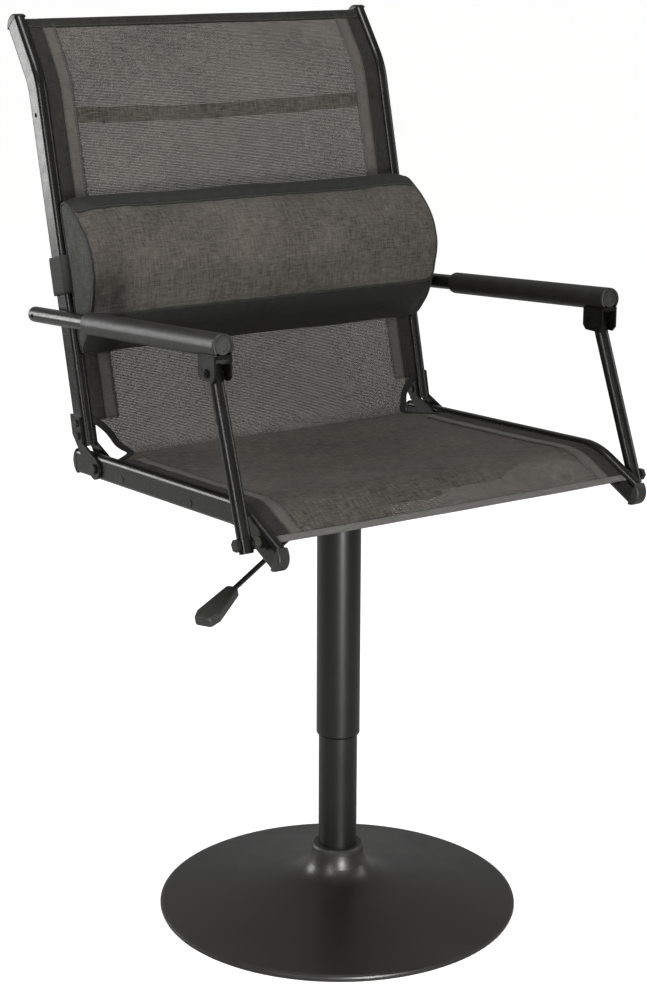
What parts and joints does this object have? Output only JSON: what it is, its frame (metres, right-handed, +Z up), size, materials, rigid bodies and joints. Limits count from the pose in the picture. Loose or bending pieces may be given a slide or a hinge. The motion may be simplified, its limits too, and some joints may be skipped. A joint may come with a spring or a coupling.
{
  "type": "swivel chair",
  "caption": "Swivel chair on a gas-lift column and round base, with a mesh sling seat, a forward-folding back, parallelogram armrests and a sliding lumbar cushion.",
  "frame": {"origin": "centre of the base on the floor", "axes": "+Z up along the column, -Y forward from the seat, +X towards the sitter's left side"},
  "size_m": [0.5686, 0.6169, 1.0967],
  "materials": {
    "base_paint": "satin",
    "powder_coat": "satin",
    "moulded_black": "matt",
    "bolt_black": "semi-gloss",
    "bright_steel": "polished",
    "weight_iron": "rough",
    "rubber_ring": "matt",
    "foam_sleeve": "matt",
    "mesh_fabric": "woven mesh",
    "pad_fabric": "woven"
  },
  "bodies": {
    "base": {"base_cover": "base_paint", "floor_pad": "rubber_ring", "base_weight": "weight_iron", "column_flange": "powder_coat", "flange_bolts": "bolt_black", "column_tube": "powder_coat", "neck_collar": "moulded_black", "guide_bushing": "moulded_black", "lower_race": "bright_steel", "bearing_balls": "bright_steel"},
    "spindle": {"upper_race": "bright_steel", "gas_rod": "bright_steel", "rod_clip": "bolt_black", "gas_piston": "moulded_black"},
    "seat": {"gas_cylinder": "powder_coat", "rod_gland": "moulded_black", "cover_tube": "powder_coat", "cover_ring": "moulded_black", "mechanism_box": "powder_coat", "seat_plate": "powder_coat", "crossbar_front": "powder_coat", "crossbar_rear": "powder_coat", "plate_bolts": "bolt_black", "rail_left": "powder_coat", "rail_right": "powder_coat", "rail_caps": "moulded_black", "crossbar_bolts": "bolt_black", "hinge_bolts": "bolt_black", "strut_bolts": "bolt_black", "strut_spacers": "moulded_black", "seat_sling": "mesh_fabric", "lever_bracket": "powder_coat", "lever_pin": "bolt_black"},
    "button": {"release_button": "moulded_black"},
    "lever": {"lever_rod": "bolt_black", "lever_grip": "moulded_black"},
    "back": {"post_left": "powder_coat", "post_right": "powder_coat", "post_caps": "moulded_black", "hinge_plate_left": "powder_coat", "hinge_plate_right": "powder_coat", "plate_rivets": "bolt_black", "back_bar_upper": "powder_coat", "arm_pins": "bolt_black", "back_sling": "mesh_fabric"},
    "lumbar": {"lumbar_cushion": "pad_fabric", "lumbar_strap": "pad_fabric"},
    "arm_left": {"arm_bar_left": "powder_coat", "arm_sleeve_left": "foam_sleeve", "arm_plugs_left": "moulded_black", "arm_clevis_left": "powder_coat"},
    "arm_right": {"arm_bar_right": "powder_coat", "arm_sleeve_right": "foam_sleeve", "arm_plugs_right": "moulded_black", "arm_clevis_right": "powder_coat"},
    "strut_left": {"strut_left": "powder_coat"},
    "strut_right": {"strut_right": "powder_coat"}
  },
  "joints": [
    {"name": "seat_swivel", "type": "hinge", "parent": "base", "child": "spindle", "pos_m": [0, 0, 0.02], "axis": [0, 0, 1], "continuous": true},
    {"name": "seat_lift", "type": "slide", "parent": "spindle", "child": "seat", "axis": [0, 0, 1], "range_m": [-0.14, 0]},
    {"name": "lever_lift", "type": "hinge", "parent": "seat", "child": "lever", "pos_m": [-0.03105, -0.01616, 0.531], "axis": [-0.4617, 0.887, 0], "range_deg": [0, 7], "stiffness_Nm_per_rad": 6, "springref_deg": -5.73},
    {"name": "button_press", "type": "slide", "parent": "seat", "child": "button", "axis": [0, 0, 1], "range_m": [-0.0046, 0]},
    {"name": "back_fold", "type": "hinge", "parent": "seat", "child": "back", "pos_m": [0, 0.143, 0.5715], "axis": [1, 0, 0], "range_deg": [0, 78]},
    {"name": "lumbar_slide", "type": "slide", "parent": "back", "child": "lumbar", "axis": [0, 0.2425, 0.9701], "range_m": [-0.01, 0.09]},
    {"name": "arm_left_pivot", "type": "hinge", "parent": "back", "child": "arm_left", "pos_m": [0.2665, 0.21, 0.7453], "axis": [1, 0, 0], "range_deg": [-79, 0.5]},
    {"name": "arm_right_pivot", "type": "hinge", "parent": "back", "child": "arm_right", "pos_m": [-0.2665, 0.21, 0.7453], "axis": [1, 0, 0], "range_deg": [-79, 0.5]},
    {"name": "strut_left_pivot", "type": "hinge", "parent": "seat", "child": "strut_left", "pos_m": [0.271, -0.225, 0.5705], "axis": [1, 0, 0], "range_deg": [-0.5, 79]},
    {"name": "strut_right_pivot", "type": "hinge", "parent": "seat", "child": "strut_right", "pos_m": [-0.271, -0.225, 0.5705], "axis": [1, 0, 0], "range_deg": [-0.5, 79]}
  ],
  "couplings": [
    {"joint": "button_press", "follows": "lever_lift", "m_per_rad": -0.035},
    {"joint": "arm_left_pivot", "follows": "back_fold", "ratio": -1},
    {"joint": "arm_right_pivot", "follows": "back_fold", "ratio": -1},
    {"joint": "strut_left_pivot", "follows": "back_fold", "ratio": 1},
    {"joint": "strut_right_pivot", "follows": "back_fold", "ratio": 1}
  ]
}
